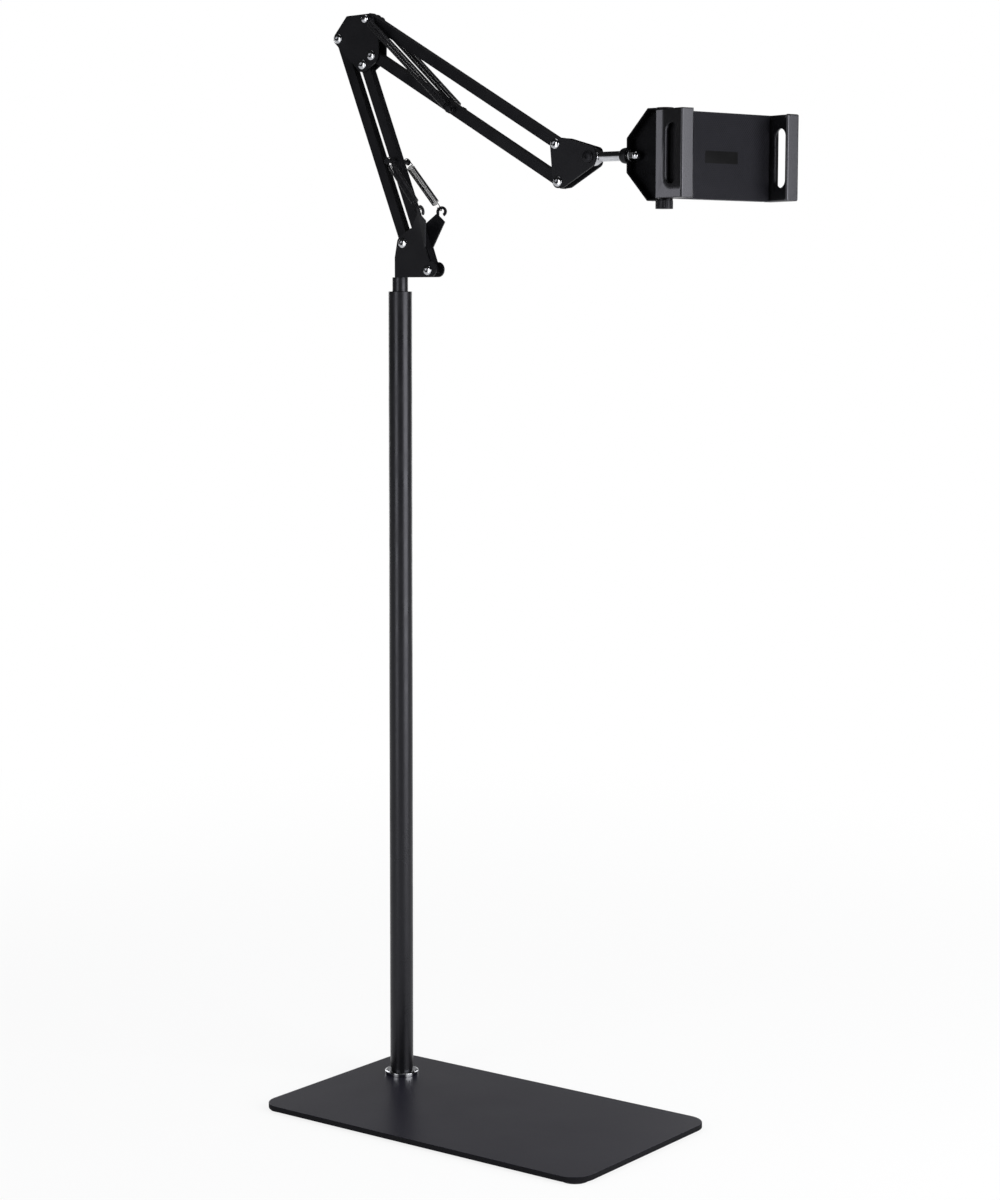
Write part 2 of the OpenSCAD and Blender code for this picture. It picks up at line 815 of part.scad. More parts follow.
// The long bolt of the elbow's upper pivot, on which the upper springs hook
module spring_anchor_bolt() {
    color(chrome) {
        bar_y(top_rear, -anchor_reach, anchor_reach, screw_r);
        translate([top_rear.x, -anchor_reach, top_rear.y]) rotate([90, 0, 0])
            button(anchor_head_d, anchor_head_h);
        translate([top_rear.x, anchor_reach, top_rear.y]) rotate([-90, 0, 0])
            button(anchor_head_d, anchor_head_h);
    }
}

// The upper arm

upper_pin_reach = upper_spring_y + wire_d / 2 + 1;

module upper_top_tube() {
    color(black_paint) arm_tube(top_rear, upper_angle, upper_arm_l);
}

module upper_low_tube() {
    color(black_paint) arm_tube(low_rear, upper_angle, upper_arm_l, pin_along);
}

module upper_spring_pin() {
    color(black_paint) spring_pin(upper_pin, upper_pin_reach);
}

// The wrist

module wrist_plate(y_low) {
    top = top_front + wrist_top_corner;
    low = low_front + wrist_low_corner;
    nose_x = tilt_axis.x + nose_reach - nose_corner_r;
    nose_z = nose_half - nose_corner_r;
    color(black_paint) difference() {
        upright(y_low, sheet_t) lobed([
            [low_front.x, low_front.y, wrist_lobe_r],
            [low.x, low.y, wrist_corner_r],
            [nose_x, tilt_axis.y - nose_z, nose_corner_r],
            [nose_x, tilt_axis.y + nose_z, nose_corner_r],
            [top.x, top.y, wrist_corner_r],
            [top_front.x, top_front.y, wrist_lobe_r]
        ]);
        for (p = [top_front, low_front, tilt_axis]) bar_y(p, y_low - cut, y_low + sheet_t + cut, hole_r);
    }
}

module wrist_plate_near() {
    wrist_plate(-sheet_out);
}

module wrist_plate_far() {
    wrist_plate(sheet_in);
}

module wrist_screws() {
    color(chrome) for (p = [top_front, low_front]) pivot_screw(p);
}

module wrist_nuts() {
    color(zinc) for (p = [top_front, low_front]) pivot_nut(p);
}

module wrist_washers() {
    color(nylon) for (p = [top_front, low_front]) washer_pair(p);
}

module tilt_bolt() {
    color(black_plastic) pivot_screw(tilt_axis, tilt_head_d, tilt_head_h);
}

module tilt_nut() {
    color(zinc) pivot_nut(tilt_axis);
}

module tilt_washers() {
    color(dark_rubber) for (y = [-sheet_in, sheet_in - tilt_washer_t]) difference() {
        bar_y(tilt_axis, y, y + tilt_washer_t, eye_r - 1);
        bar_y(tilt_axis, y - cut, y + tilt_washer_t + cut, hole_r);
    }
}

// The rod: a barrel on the tilt bolt, a tapered neck, the shaft and a threaded end
module eye_rod() {
    thread_end = rod_reach + yoke_t + rod_washer_t + rod_nut_h;
    color(chrome) difference() {
        translate([tilt_axis.x, 0, axis_z]) union() {
            bar_y([0, 0], -eye_half, eye_half, eye_r);
            rotate([0, 90, 0]) cylinder(h = neck_l, r1 = min(neck_r, eye_half), r2 = rod_d / 2);
            bar_x(0, rod_reach - face_gap, rod_d / 2);
            bar_x(0, thread_end, rod_end_d / 2);
        }
        bar_y(tilt_axis, -eye_half - cut, eye_half + cut, turn_r);
    }
}

module rod_collar() {
    flat = max(collar_d / 4, rod_d / 2 + seat_gap + collar_flat);
    color(black_plastic) translate([yoke_x - face_gap - collar_l, 0, axis_z]) rotate([0, 90, 0])
        rotate_extrude() polygon(concat(
            [[rod_d / 2 + seat_gap, collar_l], [rod_d / 2 + seat_gap, 0]],
            [for (i = [0 : dome_steps])
                let (a = 90 * i / dome_steps)
                [flat + (collar_d / 2 - flat) * sin(a), collar_l * 0.7 * (1 - cos(a))]],
            [[collar_d / 2, collar_l]]
        ));
}

module rod_washer() {
    x = yoke_x + yoke_t + face_gap;
    color(zinc) translate([0, 0, axis_z]) difference() {
        bar_x(x, x + rod_washer_t - face_gap, rod_washer_r);
        bar_x(x - cut, x + rod_washer_t + cut, rod_end_d / 2 + seat_gap);
    }
}

module rod_cap_nut() {
    dome_r = rod_nut_af / 2 - 0.3;
    color(chrome) translate([yoke_x + yoke_t + rod_washer_t, 0, axis_z]) rotate([0, 90, 0]) difference() {
        union() {
            hex_prism(rod_nut_af, rod_nut_h);
            translate([0, 0, rod_nut_h]) button(2 * dome_r, rod_nut_dome_h);
        }
        translate([0, 0, -cut]) cylinder(h = rod_nut_h + 2 * cut, r = rod_end_d / 2 + seat_gap);
    }
}

// The yoke: a pressed pan open on one side, whose top and bottom reach out as two arms

module yoke_outline(end) {
    polygon([
        [0, -yoke_rear_half], [yoke_slant_l, -yoke_half], [end, -yoke_half],
        [end, yoke_half], [yoke_slant_l, yoke_half], [0, yoke_rear_half]
    ]);
}

module yoke_hollow(end) {
    rear = yoke_rear_half + yoke_t * (yoke_slope - yoke_lean);
    front_x = yoke_slant_l + yoke_t * (yoke_lean - 1) / yoke_slope;
    front = yoke_half - yoke_t;
    polygon([
        [yoke_t, -rear], [front_x, -front], [end, -front], [end, front], [front_x, front], [yoke_t, rear]
    ]);
}

module yoke_arm() {
    translate([yoke_slant_l, -yoke_edge_y])
        square([swing_reach - yoke_slant_l, yoke_edge_y + yoke_wall_y + yoke_t]);
    translate([swing_reach, 0]) circle(r = yoke_end_r);
}

module yoke() {
    depth = yoke_edge_y + yoke_wall_y;
    color(black_paint) translate([yoke_x, 0, axis_z]) difference() {
        union() {
            upright(-yoke_edge_y, depth) difference() {
                yoke_outline(yoke_wall_end);
                yoke_hollow(yoke_wall_end + cut);
            }
            upright(yoke_wall_y, yoke_t) yoke_outline(yoke_wall_end);
            for (z = [-yoke_half, yoke_half - yoke_t]) translate([0, 0, z]) linear_extrude(yoke_t) yoke_arm();
        }
        bar_x(-cut, yoke_t + cut, rod_end_d / 2 + run_gap);
        translate([swing_reach, 0, -yoke_half - cut])
            cylinder(h = 2 * (yoke_half + cut), r = swing_r + run_gap);
    }
}

module swing_pin() {
    color(zinc) translate([swing_x, 0, axis_z + yoke_half - swing_pin_l])
        cylinder(h = swing_pin_l, r = swing_r);
}

module swing_knob() {
    top = axis_z - yoke_half - face_gap;
    color(black_plastic) translate([swing_x, 0, top]) union() {
        cylinder(h = stud_l, r = swing_r);
        translate([0, 0, -knob_h]) difference() {
            cylinder(h = knob_h, d = knob_d);
            for (i = [1 : knob_grips]) rotate([0, 0, 360 * i / knob_grips])
                translate([knob_d / 2 + grip_r / 2, 0, cut]) cylinder(h = knob_h, r = grip_r);
        }
    }
}

// The clamp

module in_clamp() {
    translate([swing_x, 0, axis_z]) rotate([0, 0, clamp_turn]) children();
}

module block(low, high) {
    translate(low) cube(high - low);
}

// A jaw's outline from above: a lip, a base and a wall that stands wall_in from the jaw's outside
module jaw_outline(outside, inward, wall_in, base_front, base_w) {
    r = corner_r;
    end_r = jaw_wall / 2;
    lip_x = lip_front - end_r;
    wall = outside + inward * (wall_in + end_r) - end_r;
    foot = min(outside, outside + inward * base_w);
    out = outside + inward * r;
    base_end = outside + inward * (base_w - r / 2);
    flat_lobed([
        [lip_x, outside + inward * end_r, end_r],
        [lip_x, outside + inward * (lip_w - end_r), end_r]
    ]);
    translate([-clamp_back + r, wall]) square([lip_x + clamp_back - r, jaw_wall]);
    translate([-clamp_back + r, foot]) square([base_front + clamp_back - r, base_w]);
    for (y = [[out, r], [base_end, r / 2]]) translate([-clamp_back + r, y[0]]) circle(r = y[1]);
    translate([-clamp_back, min(out, base_end)]) square([r, abs(base_end - out)]);
}

module jaw_slot(wall_y) {
    y = wall_y - cut;
    h = jaw_wall + 2 * cut;
    r = slot_w / 2;
    reach = slot_l / 2 - r;
    block([slot_x - r, y, -reach], [slot_x + r, y + h, reach]);
    for (z = [-reach, reach]) bar_y([slot_x, z], y, y + h, r);
}

boss_places = [
    for (y = [hinge_block + boss_inset, housing_end - boss_inset]) for (z = [-boss_z, boss_z]) [y, z]
];

module clamp_frame() {
    fit = slide_half + slide_gap;
    color(black_plastic) in_clamp() difference() {
        union() {
            translate([0, 0, -jaw_half]) linear_extrude(jaw_h)
                jaw_outline(-jaw_outside, 1, 0, hinge_front, jaw_outside + hinge_block);
            block([cavity_front, grip_y - jaw_wall, -jaw_half], [lip_front - jaw_wall / 2, grip_y, jaw_half]);
            for (z = [-jaw_half, jaw_half - jaw_end_t])
                block([cavity_front, -jaw_outside + jaw_wall / 2, z],
                    [lip_front - jaw_wall / 2, grip_y - jaw_wall / 2, z + jaw_end_t]);
            block([cavity_front, -jaw_outside + jaw_wall, -housing_half],
                [housing_front, housing_end, housing_half]);
            for (z = [-housing_half, housing_half - housing_wall])
                block([cavity_back, rib_start, z], [cavity_front, housing_end, z + housing_wall]);
            for (z = [-fit - rib_w, fit])
                block([cavity_back + slide_gap, rib_start, z], [cavity_front, housing_end, z + rib_w]);
            for (b = boss_places) translate([0, b[0], b[1]]) bar_x(cavity_back, cavity_front, boss_r);
        }
        jaw_slot(-jaw_outside);
        translate([0, 0, -jaw_half - cut]) cylinder(h = jaw_h + 2 * cut, r = swing_r + run_gap);
        for (b = boss_places) translate([0, b[0], b[1]])
            bar_x(cavity_back - cut, cavity_back - housing_wall + case_screw_l + 0.5, case_screw_r);
    }
}

module clamp_back_cover() {
    color(black_plastic) in_clamp() difference() {
        block([-clamp_back, hinge_block + seat_gap, -housing_half], [cavity_back, housing_end, housing_half]);
        for (b = boss_places) translate([0, b[0], b[1]])
            bar_x(-clamp_back - cut, cavity_back + cut, case_screw_r + seat_gap);
    }
}

module case_screws() {
    color(zinc) in_clamp() for (b = boss_places) translate([-clamp_back, b[0], b[1]]) {
        bar_x(0, case_screw_l, case_screw_r - seat_gap);
        rotate([0, -90, 0]) button(2 * case_head_r, case_head_h);
    }
}

module grip_pad() {
    color(dark_rubber) in_clamp()
        block([housing_front, grip_y + slide_gap, -housing_half + 0.5],
            [housing_front + pad_t, housing_end - 0.5, housing_half - 0.5]);
}

// Two return springs, shut inside the housing, as plain sleeves
module jaw_springs() {
    color(zinc) in_clamp() for (z = [-jaw_spring_z, jaw_spring_z])
        translate([(slide_back + slide_front) / 2, hinge_block, z]) rotate([-90, 0, 0]) difference() {
            cylinder(h = slide_start - hinge_block, r = jaw_spring_r);
            translate([0, 0, -cut]) cylinder(h = slide_start - hinge_block + 2 * cut, r = jaw_spring_bore_r);
        }
}

jaw_base_edge = slide_outside - jaw_base_w;
slide_tongue_end = min(jaw_base_edge + slide_tongue, slide_outside - jaw_wall);

module slide_tongue_space(gap) {
    block([slide_back - gap, jaw_base_edge - cut, -slide_half - gap],
        [slide_back + slide_plate_t + gap, slide_tongue_end + gap, slide_half + gap]);
}

// The sliding jaw's wall stands in from its outside, and its ends close the space behind the wall
slide_wall_in = lip_w - grip_overhang - jaw_wall;
slide_wall_y = slide_outside - slide_wall_in - jaw_wall;

module sliding_jaw() {
    color(black_plastic) in_clamp() difference() {
        union() {
            translate([0, 0, -jaw_half]) linear_extrude(jaw_h)
                jaw_outline(slide_outside, -1, slide_wall_in, housing_front, jaw_base_w);
            for (z = [-jaw_half, jaw_half - jaw_end_t])
                block([cavity_front, slide_wall_y + jaw_wall / 2, z],
                    [lip_front - jaw_wall / 2, slide_outside, z + jaw_end_t]);
        }
        jaw_slot(slide_wall_y);
        slide_tongue_space(seat_gap);
        for (z = [-jaw_screw_z, jaw_screw_z]) translate([0, (jaw_base_edge + slide_tongue_end) / 2, z])
            bar_x(-clamp_back - cut, slide_back, case_screw_r + seat_gap);
    }
}

module slide_plate() {
    color(zinc) in_clamp() difference() {
        union() {
            block([slide_back, slide_start, -slide_half],
                [slide_back + slide_plate_t, slide_tongue_end, slide_half]);
            for (z = [-slide_half, slide_half - slide_rail_w])
                block([slide_back, slide_start, z], [slide_front, jaw_base_edge, z + slide_rail_w]);
            block([slide_back, slide_start, -slide_half],
                [slide_front, slide_start + slide_end_wall, slide_half]);
        }
        for (z = [-jaw_screw_z, jaw_screw_z]) translate([0, (jaw_base_edge + slide_tongue_end) / 2, z])
            bar_x(slide_back - cut, slide_front, case_screw_r);
    }
}

module slide_screws() {
    color(zinc) in_clamp() for (z = [-jaw_screw_z, jaw_screw_z])
        translate([-clamp_back, (jaw_base_edge + slide_tongue_end) / 2, z]) {
            bar_x(0, slide_back + slide_plate_t + clamp_back, case_screw_r - seat_gap);
            rotate([0, -90, 0]) button(2 * case_head_r, case_head_h);
        }
}

base_plate();
base_feet();
pole_bolt();
pole_insert();
pole_ring();
pole_tube();
pole_bush();
arm_spigot();
bracket_plate_near();
bracket_plate_far();
bracket_screws();
bracket_nuts();
bracket_washers();
lower_rear_tube();
lower_front_tube();
lower_spring_pin();
lower_spring_near();
lower_spring_far();
elbow_plate_near();
elbow_plate_far();
elbow_screws();
elbow_nuts();
elbow_washers();
spring_anchor_bolt();
upper_spring_near();
upper_spring_far();
upper_top_tube();
upper_low_tube();
upper_spring_pin();
wrist_plate_near();
wrist_plate_far();
wrist_screws();
wrist_nuts();
wrist_washers();
tilt_bolt();
tilt_nut();
tilt_washers();
eye_rod();
rod_collar();
rod_washer();
rod_cap_nut();
yoke();
swing_pin();
swing_knob();
clamp_frame();
clamp_back_cover();
grip_pad();
case_screws();
jaw_springs();
sliding_jaw();
slide_plate();
slide_screws();
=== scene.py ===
# Looks of an adjustable tablet floor stand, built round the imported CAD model. Metres, +Z up.
import math

import bpy
from mathutils import Matrix, Quaternion, Vector


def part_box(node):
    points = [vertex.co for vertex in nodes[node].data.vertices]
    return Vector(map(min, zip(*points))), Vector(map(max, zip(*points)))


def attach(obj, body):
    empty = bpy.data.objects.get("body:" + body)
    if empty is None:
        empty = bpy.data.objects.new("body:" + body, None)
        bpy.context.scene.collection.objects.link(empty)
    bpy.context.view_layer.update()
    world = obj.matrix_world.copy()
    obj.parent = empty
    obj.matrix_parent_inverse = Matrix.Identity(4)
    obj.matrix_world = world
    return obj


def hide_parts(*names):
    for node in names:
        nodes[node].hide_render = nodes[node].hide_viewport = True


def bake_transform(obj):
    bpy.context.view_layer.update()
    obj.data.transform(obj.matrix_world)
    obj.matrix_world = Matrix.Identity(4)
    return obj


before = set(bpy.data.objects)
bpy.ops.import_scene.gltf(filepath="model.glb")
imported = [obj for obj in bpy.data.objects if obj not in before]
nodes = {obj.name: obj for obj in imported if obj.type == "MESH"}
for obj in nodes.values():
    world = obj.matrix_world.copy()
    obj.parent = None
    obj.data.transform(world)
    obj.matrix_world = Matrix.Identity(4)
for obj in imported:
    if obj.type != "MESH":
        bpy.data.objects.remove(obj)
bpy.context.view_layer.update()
MM = 0.001
FULL_TURN = 2.0 * math.pi
WHITE = (1.0, 1.0, 1.0, 1.0)

# Camera at the photograph's place
CAMERA_PLACE = (1.8598, -2.3065, 0.891)
CAMERA_HEADING = math.radians(126.691)
CAMERA_PITCH = math.radians(-6.332)
CAMERA_ROLL = math.radians(0.12)
CAMERA_LENS = 78.28
CAMERA_SENSOR = 36.0


def add_camera():
    data = bpy.data.cameras.new("camera")
    data.sensor_width = CAMERA_SENSOR
    data.lens = CAMERA_LENS
    data.clip_start = 0.05
    data.clip_end = 60.0
    camera = bpy.data.objects.new("camera", data)
    bpy.context.scene.collection.objects.link(camera)
    look = Vector((
        math.cos(CAMERA_HEADING) * math.cos(CAMERA_PITCH),
        math.sin(CAMERA_HEADING) * math.cos(CAMERA_PITCH),
        math.sin(CAMERA_PITCH),
    ))
    roll = Quaternion((0.0, 0.0, 1.0), CAMERA_ROLL)
    camera.location = CAMERA_PLACE
    camera.rotation_euler = (look.to_track_quat("-Z", "Y") @ roll).to_euler()
    bpy.context.scene.camera = camera


# Colours are written as the 0 to 255 values that a screen shows
def linear(value):
    v = value / 255.0
    return v / 12.92 if v <= 0.04045 else ((v + 0.055) / 1.055) ** 2.4


def tone(r, g, b):
    return (linear(r), linear(g), linear(b), 1.0)


class Net:
    """Short ways to add nodes to a node tree."""

    def __init__(self, tree):
        self.tree = tree

    def add(self, kind, inputs=None, **settings):
        """A new node with its settings made, and its inputs linked to a socket or set to a value."""
        made = self.tree.nodes.new(kind)
        for key, value in settings.items():
            setattr(made, key, value)
        for key, value in (inputs or {}).items():
            if isinstance(value, bpy.types.NodeSocket):
                self.tree.links.new(value, made.inputs[key])
            else:
                made.inputs[key].default_value = value
        return made

    def maths(self, operation, a, b=0.0):
        """One step of arithmetic on numbers."""
        return self.add("ShaderNodeMath", {0: a, 1: b}, operation=operation).outputs["Value"]

    def vectors(self, operation, a, b=None):
        """One step of arithmetic on vectors."""
        inputs = {0: a}
        if b is not None:
            inputs["Scale" if operation == "SCALE" else 1] = b
        made = self.add("ShaderNodeVectorMath", inputs, operation=operation)
        return made.outputs["Value" if operation in ("LENGTH", "DOT_PRODUCT") else "Vector"]

    def spread(self, source, low, high, start=0.3, end=0.7, kind="LINEAR"):
        """Goes from low to high as the source goes from start to end."""
        made = self.add("ShaderNodeMapRange", interpolation_type=kind, inputs={
            "Value": source,
            "From Min": start,
            "From Max": end,
            "To Min": low,
            "To Max": high,
        })
        return made.outputs["Result"]


# What plastic and paint mirror is a little cool
COOL_SHINE = (0.9, 0.9, 1.0, 1.0)
# Waves in a metre that Blender's wave texture draws at a scale of 1
WAVES_AT_ONE = 20.0 / FULL_TURN
# How far a face points up, from where it counts as a side to where it counts as the top
SIDE_UP = 0.4
TOP_UP = 0.95
# How nearly a face points along an axis to count as the wall on that side
WALL_FACING = 0.7
# Colour sockets of the mix node, whose names other sockets share
MIX_FIRST = 6
MIX_SECOND = 7
MIX_RESULT = 2


class Surface(Net):
    """A node material on one Principled shader, with helpers for drift, grain and lines."""

    def __init__(self, name, rough, metal=0.0, level=0.5):
        self.material = bpy.data.materials.new(name)
        self.material.use_nodes = True
        super().__init__(self.material.node_tree)
        self.shader = self.tree.nodes["Principled BSDF"].inputs
        self.shader["Roughness"].default_value = rough
        self.shader["Metallic"].default_value = metal
        self.shader["Specular IOR Level"].default_value = level
        if not metal:
            self.shader["Specular Tint"].default_value = COOL_SHINE
        where = self.add("ShaderNodeTexCoord")
        self.place = where.outputs["Object"]
        self.facing = where.outputs["Normal"]
        self.colour = None
        self.finish = None
        self.normal = None

    def noise(self, size, detail=2.0, stretch=None):
        """Noise whose features are about size metres, finer along an axis where stretch is above 1."""
        where = self.place
        if stretch:
            where = self.add("ShaderNodeMapping", {"Vector": where, "Scale": stretch}).outputs["Vector"]
        made = self.add("ShaderNodeTexNoise", {"Vector": where, "Scale": 1.0 / size, "Detail": detail})
        return made.outputs["Fac"]

    def stripes(self, period, turn):
        """Fine parallel lines across the local YZ plane, turned by some degrees."""
        turned = self.add("ShaderNodeMapping", {
            "Vector": self.place,
            "Rotation": (math.radians(turn), 0.0, 0.0),
        })
        made = self.add("ShaderNodeTexWave", bands_direction="Y", wave_profile="SIN", inputs={
            "Vector": turned.outputs["Vector"],
            "Scale": 1.0 / (WAVES_AT_ONE * period),
        })
        return made.outputs["Fac"]

    def show(self, name, source):
        """Feeds one input of the shader."""
        self.tree.links.new(source, self.shader[name])
        return source

    def colours(self, source, dark, light, start=0.3, end=0.7):
        ramp = self.add("ShaderNodeValToRGB", {"Fac": source})
        first, last = ramp.color_ramp.elements
        first.position = start
        first.color = dark
        last.position = end
        last.color = light
        self.colour = self.show("Base Color", ramp.outputs["Color"])

    def rough(self, source, low, high):
        self.finish = self.show("Roughness", self.spread(source, low, high))

    def bump(self, source, depth):
        """Adds relief to what bends the normal so far."""
        inputs = {"Height": source, "Strength": 1.0, "Distance": depth}
        if self.normal is not None:
            inputs["Normal"] = self.normal
        self.normal = self.show("Normal", self.add("ShaderNodeBump", inputs).outputs["Normal"])

    def paint_side_shade(self, colour, added_rough):
        """Painted shade: a darker colour where a flat piece doesn't face up, with a duller finish there.
        """
        up = self.add("ShaderNodeSeparateXYZ", {0: self.facing}).outputs["Z"]
        mix = self.add("ShaderNodeMix", data_type="RGBA", inputs={
            "Factor": self.spread(up, 0.0, 1.0, SIDE_UP, TOP_UP),
            MIX_FIRST: colour,
            MIX_SECOND: self.colour,
        })
        self.colour = self.show("Base Color", mix.outputs[MIX_RESULT])
        dull = self.spread(up, added_rough, 0.0, SIDE_UP, TOP_UP)
        self.finish = self.show("Roughness", self.maths("ADD", self.finish, dull))

    def flare(self, place, side, left, low, corner, inner, outer, lean):
        """Leans a wall's normal to the place's x, left of and below a rounded flat round its slot."""
        inverse = place.inverted()
        local = self.add("ShaderNodeMapping", {
            "Vector": self.place,
            "Location": inverse.to_translation(),
            "Rotation": inverse.to_euler(),
        })
        split = self.add("ShaderNodeSeparateXYZ", {0: local.outputs["Vector"]})
        across = self.maths("MAXIMUM", self.maths("SUBTRACT", left + corner, split.outputs["X"]), 0.0)
        down = self.maths("MAXIMUM", self.maths("SUBTRACT", low + corner, split.outputs["Z"]), 0.0)
        far = self.vectors("LENGTH", self.add("ShaderNodeCombineXYZ", {0: across, 1: down}).outputs[0])
        outside = self.spread(far, 0.0, lean, corner - inner, corner + outer)
        outward = place.to_3x3() @ Vector((0.0, side, 0.0))
        wall = self.maths("GREATER_THAN", self.vectors("DOT_PRODUCT", self.facing, outward), WALL_FACING)
        aim = self.add("ShaderNodeVectorTransform", {
            "Vector": place.to_3x3() @ Vector((1.0, 0.0, 0.0)),
        }, vector_type="VECTOR", convert_from="OBJECT", convert_to="WORLD")
        leaning = self.vectors("SCALE", aim.outputs["Vector"], self.maths("MULTIPLY", outside, wall))
        straight = self.add("ShaderNodeNewGeometry").outputs["Normal"]
        leant = self.vectors("ADD", straight, leaning)
        self.normal = self.show("Normal", self.vectors("NORMALIZE", leant))


# Paint: size of its gloss patches beside its colour patches, its long waves beside its orange peel
GLOSS_SIZE = 0.4
WAVE_SIZE = 5.0
WAVE_DEPTH = 1.5
SIDES_DULLER = 0.5


def painted(name, dark, light, rough, level, peel, depth, drift=50.0 * MM, swing=0.06, side_shade=None):
    """Paint with a slow drift of colour and gloss, over orange peel of some size and depth."""
    s = Surface(name, rough, level=level)
    s.colours(s.noise(drift, 3.0), dark, light)
    s.rough(s.noise(drift * GLOSS_SIZE, 3.0), rough - swing, rough + swing)
    # Painted shade: a darker colour where the paint doesn't face up, and a duller finish there.
    if side_shade:
        s.paint_side_shade(side_shade, SIDES_DULLER)
    s.bump(s.noise(peel, 3.0), depth)
    s.bump(s.noise(peel * WAVE_SIZE, 1.0), depth * WAVE_DEPTH)
    return s.material


def bright_metal(name, dark, light, rough, scratch=0.01 * MM):
    """Plated metal with patches of gloss and fine scratches."""
    s = Surface(name, rough, metal=1.0)
    s.colours(s.noise(6.0 * MM), dark, light)
    s.rough(s.noise(2.5 * MM, 3.0), rough * 0.7, rough * 1.4)
    s.bump(s.noise(0.6 * MM, 2.0, (1.0, 8.0, 1.0)), scratch)
    return s.material


def moulded(name, dark, light, rough, level, grain, depth, swing=0.07):
    """Moulded plastic or rubber with a fine grain."""
    s = Surface(name, rough, level=level)
    s.colours(s.noise(30.0 * MM), dark, light)
    fine = s.noise(grain, 4.0)
    s.rough(fine, rough - swing, rough + swing)
    s.bump(fine, depth)
    return s.material


def hatched(name, dark, light, rough, level, period, turn, depth, swing=0.05):
    """Rubber with crossed ribs of some depth, under a fine grain."""
    s = Surface(name, rough, level=level)
    lines = s.maths("MAXIMUM", s.stripes(period, turn), s.stripes(period, -turn))
    s.colours(lines, dark, light, start=0.55, end=0.98)
    s.bump(lines, depth)
    s.bump(s.noise(0.5 * MM, 3.0), 0.02 * MM)
    s.rough(s.noise(12.0 * MM), rough - swing, rough + swing)
    return s.material


# The clamp's own axes: x out of the panel, y along the slide, z up
CLAMP_TURN = math.radians(-16.4)
clamp_place = Matrix.Translation((0.35361, 0.0, 1.05296)) @ Matrix.Rotation(CLAMP_TURN, 4, "Z")
JAW_HALF_HEIGHT = 45.7 * MM


def jaw_plastic(name, side, level, rough=0.30, swing=0.04):
    """Smooth plastic, whose outer wall flares round the slot and so catches the light."""
    s = Surface(name, rough, level=level)
    s.colours(s.noise(30.0 * MM), tone(8, 8, 9), tone(11, 11, 12))
    s.flare(clamp_place, side, left=11.0 * MM, low=-34.0 * MM, corner=12.0 * MM,
            inner=2.0 * MM, outer=5.0 * MM, lean=0.56)
    fine = s.noise(0.5 * MM, 4.0)
    s.rough(fine, rough - swing, rough + swing)
    s.bump(fine, 0.003 * MM)
    return s.material


sheet_paint = painted(
    "sheet_paint", tone(13, 13, 15), tone(17, 17, 19),
    rough=0.46, level=0.2, peel=0.7 * MM, depth=0.010 * MM)
yoke_paint = painted(
    "yoke_paint", tone(5, 5, 6), tone(8, 8, 9),
    rough=0.32, level=0.1, peel=0.7 * MM, depth=0.006 * MM)
tube_paint = painted(
    "tube_paint", tone(10, 10, 12), tone(15, 15, 17),
    rough=0.40, level=0.2, peel=0.6 * MM, depth=0.008 * MM)
pole_paint = painted(
    "pole_paint", tone(9, 9, 11), tone(13, 13, 15),
    rough=0.32, level=0.35, peel=0.6 * MM, depth=0.002 * MM)
# The base plate's edges get painted shade: a darker colour than its top.
base_paint = painted(
    "base_paint", tone(20, 19, 30), tone(23, 22, 33),
    rough=0.36, level=0.25, peel=1.1 * MM, depth=0.016 * MM,
    drift=250.0 * MM, swing=0.015, side_shade=tone(6, 6, 8))
spring_steel = painted(
    "spring_steel", tone(8, 8, 9), tone(14, 14, 15),
    rough=0.40, level=0.25, peel=0.4 * MM, depth=0.002 * MM, drift=10.0 * MM)
chrome = bright_metal("chrome", tone(186, 187, 191), tone(212, 213, 217), rough=0.1)
zinc = bright_metal("zinc", tone(138, 139, 142), tone(172, 173, 175), rough=0.34, scratch=0.02 * MM)
dull_zinc = bright_metal("dull_zinc", tone(84, 85, 88), tone(104, 105, 108), rough=0.42)
black_plastic = moulded(
    "black_plastic", tone(9, 9, 10), tone(12, 12, 13),
    rough=0.42, level=0.22, grain=0.6 * MM, depth=0.02 * MM)
fixed_jaw_plastic = jaw_plastic("fixed_jaw_plastic", side=-1.0, level=0.62)
sliding_jaw_plastic = jaw_plastic("sliding_jaw_plastic", side=1.0, level=0.78)
cover_plastic = moulded(
    "cover_plastic", tone(20, 20, 22), tone(26, 26, 28),
    rough=0.5, level=0.35, grain=0.7 * MM, depth=0.04 * MM)
rubber = moulded(
    "rubber", tone(22, 22, 23), tone(30, 30, 31),
    rough=0.72, level=0.3, grain=0.5 * MM, depth=0.03 * MM)
nylon = moulded(
    "nylon", tone(20, 20, 21), tone(27, 27, 28),
    rough=0.5, level=0.4, grain=0.8 * MM, depth=0.02 * MM)
pad_rubber = hatched(
    "pad_rubber", tone(9, 9, 11), tone(31, 31, 36),
    rough=0.6, level=0.1, period=2.3 * MM, turn=38.0, depth=0.16 * MM)
label_film = moulded(
    "label_film", tone(10, 10, 10), tone(14, 14, 14),
    rough=0.5, level=0.05, grain=0.6 * MM, depth=0.006 * MM)

# CAD nodes keep their shape. Modifiers join their facets and break their sharp edges.
MERGE_DISTANCE = 0.01 * MM
WELD_DISTANCE = 0.001 * MM
RIM_SLACK = 0.05 * MM
FLAT_ANGLE = math.radians(0.6)
SHARP_ANGLE = math.radians(32)
NORMAL_WEIGHT = 80
# Clamp y up to which the rims are rounded: the fixed jaw's wall, and all of the sliding jaw
FIXED_RIM_END = 0.95 * MM
SLIDING_RIM_END = 400.0 * MM


def geometry_net(name):
    """A new geometry node group, and the geometry that flows into it."""
    group = bpy.data.node_groups.new(name, "GeometryNodeTree")
    for way in ("INPUT", "OUTPUT"):
        group.interface.new_socket("Geometry", in_out=way, socket_type="NodeSocketGeometry")
    net = Net(group)
    return net, net.add("NodeGroupInput").outputs[0]


